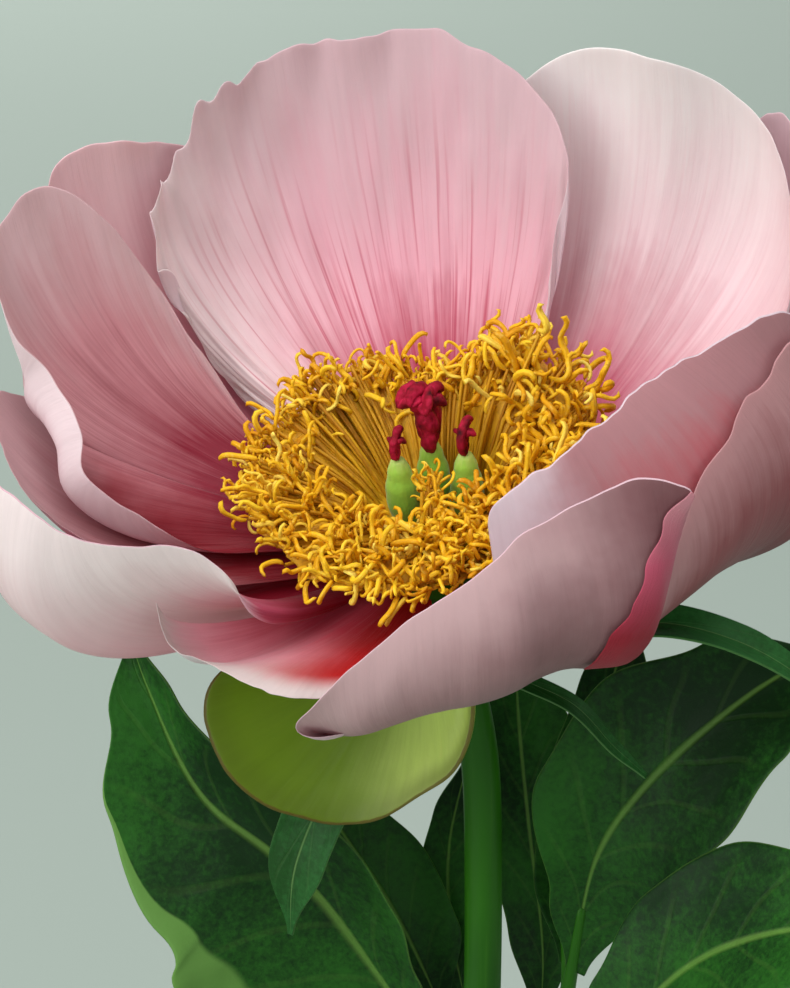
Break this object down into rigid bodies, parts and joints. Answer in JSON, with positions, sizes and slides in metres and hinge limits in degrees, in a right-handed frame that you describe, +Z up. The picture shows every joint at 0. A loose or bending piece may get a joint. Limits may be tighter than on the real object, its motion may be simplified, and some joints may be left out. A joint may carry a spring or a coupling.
{
  "type": "cut peony in a bud vase",
  "caption": "Open peony bloom with golden stamens round green carpels, on a leafy cut stem that stands in water in a plain bottle-shaped bud vase.",
  "frame": {"origin": "centre of the vase's flat base, on the surface it stands on", "axes": "+Z up along the vase's axis, -Y towards the front of the bloom, +X to the bloom's right as seen from the front"},
  "size_m": [0.1396, 0.1086, 0.362],
  "materials": {
    "vase_glaze": "satin off-white glaze",
    "water": "clear, polished",
    "stem_green": "satin",
    "leaf_green": "satin",
    "petal_inside": "matte pink, deeper red towards the base",
    "petal_outside": "matte pale pink",
    "sepal_green": "satin",
    "bract_green": "satin",
    "anther_gold": "matte",
    "carpel_lime": "satin"
  },
  "bodies": {
    "root": {"vase": "vase_glaze", "water": "water", "stem": "stem_green", "leaf_left": "leaf_green", "leaf_right": "leaf_green", "leaf_front": "leaf_green", "petal_back": "petal_inside", "petal_left_back": "petal_inside", "petal_back_right": "petal_inside", "petal_left": "petal_inside", "petal_left_behind": "petal_inside", "petal_front_left_low": "petal_inside", "petal_right": "petal_outside", "petal_right_behind": "petal_outside", "petal_front": "petal_outside", "petal_front_left": "petal_outside", "sepal_front": "sepal_green", "sepal_right": "sepal_green", "sepal_back": "sepal_green", "bract_front": "bract_green", "bract_right": "bract_green", "bract_thin": "bract_green", "bract_back": "bract_green", "stamens": "anther_gold", "carpel_left": "carpel_lime", "carpel_right": "carpel_lime", "carpel_back": "carpel_lime"}
  },
  "joints": []
}
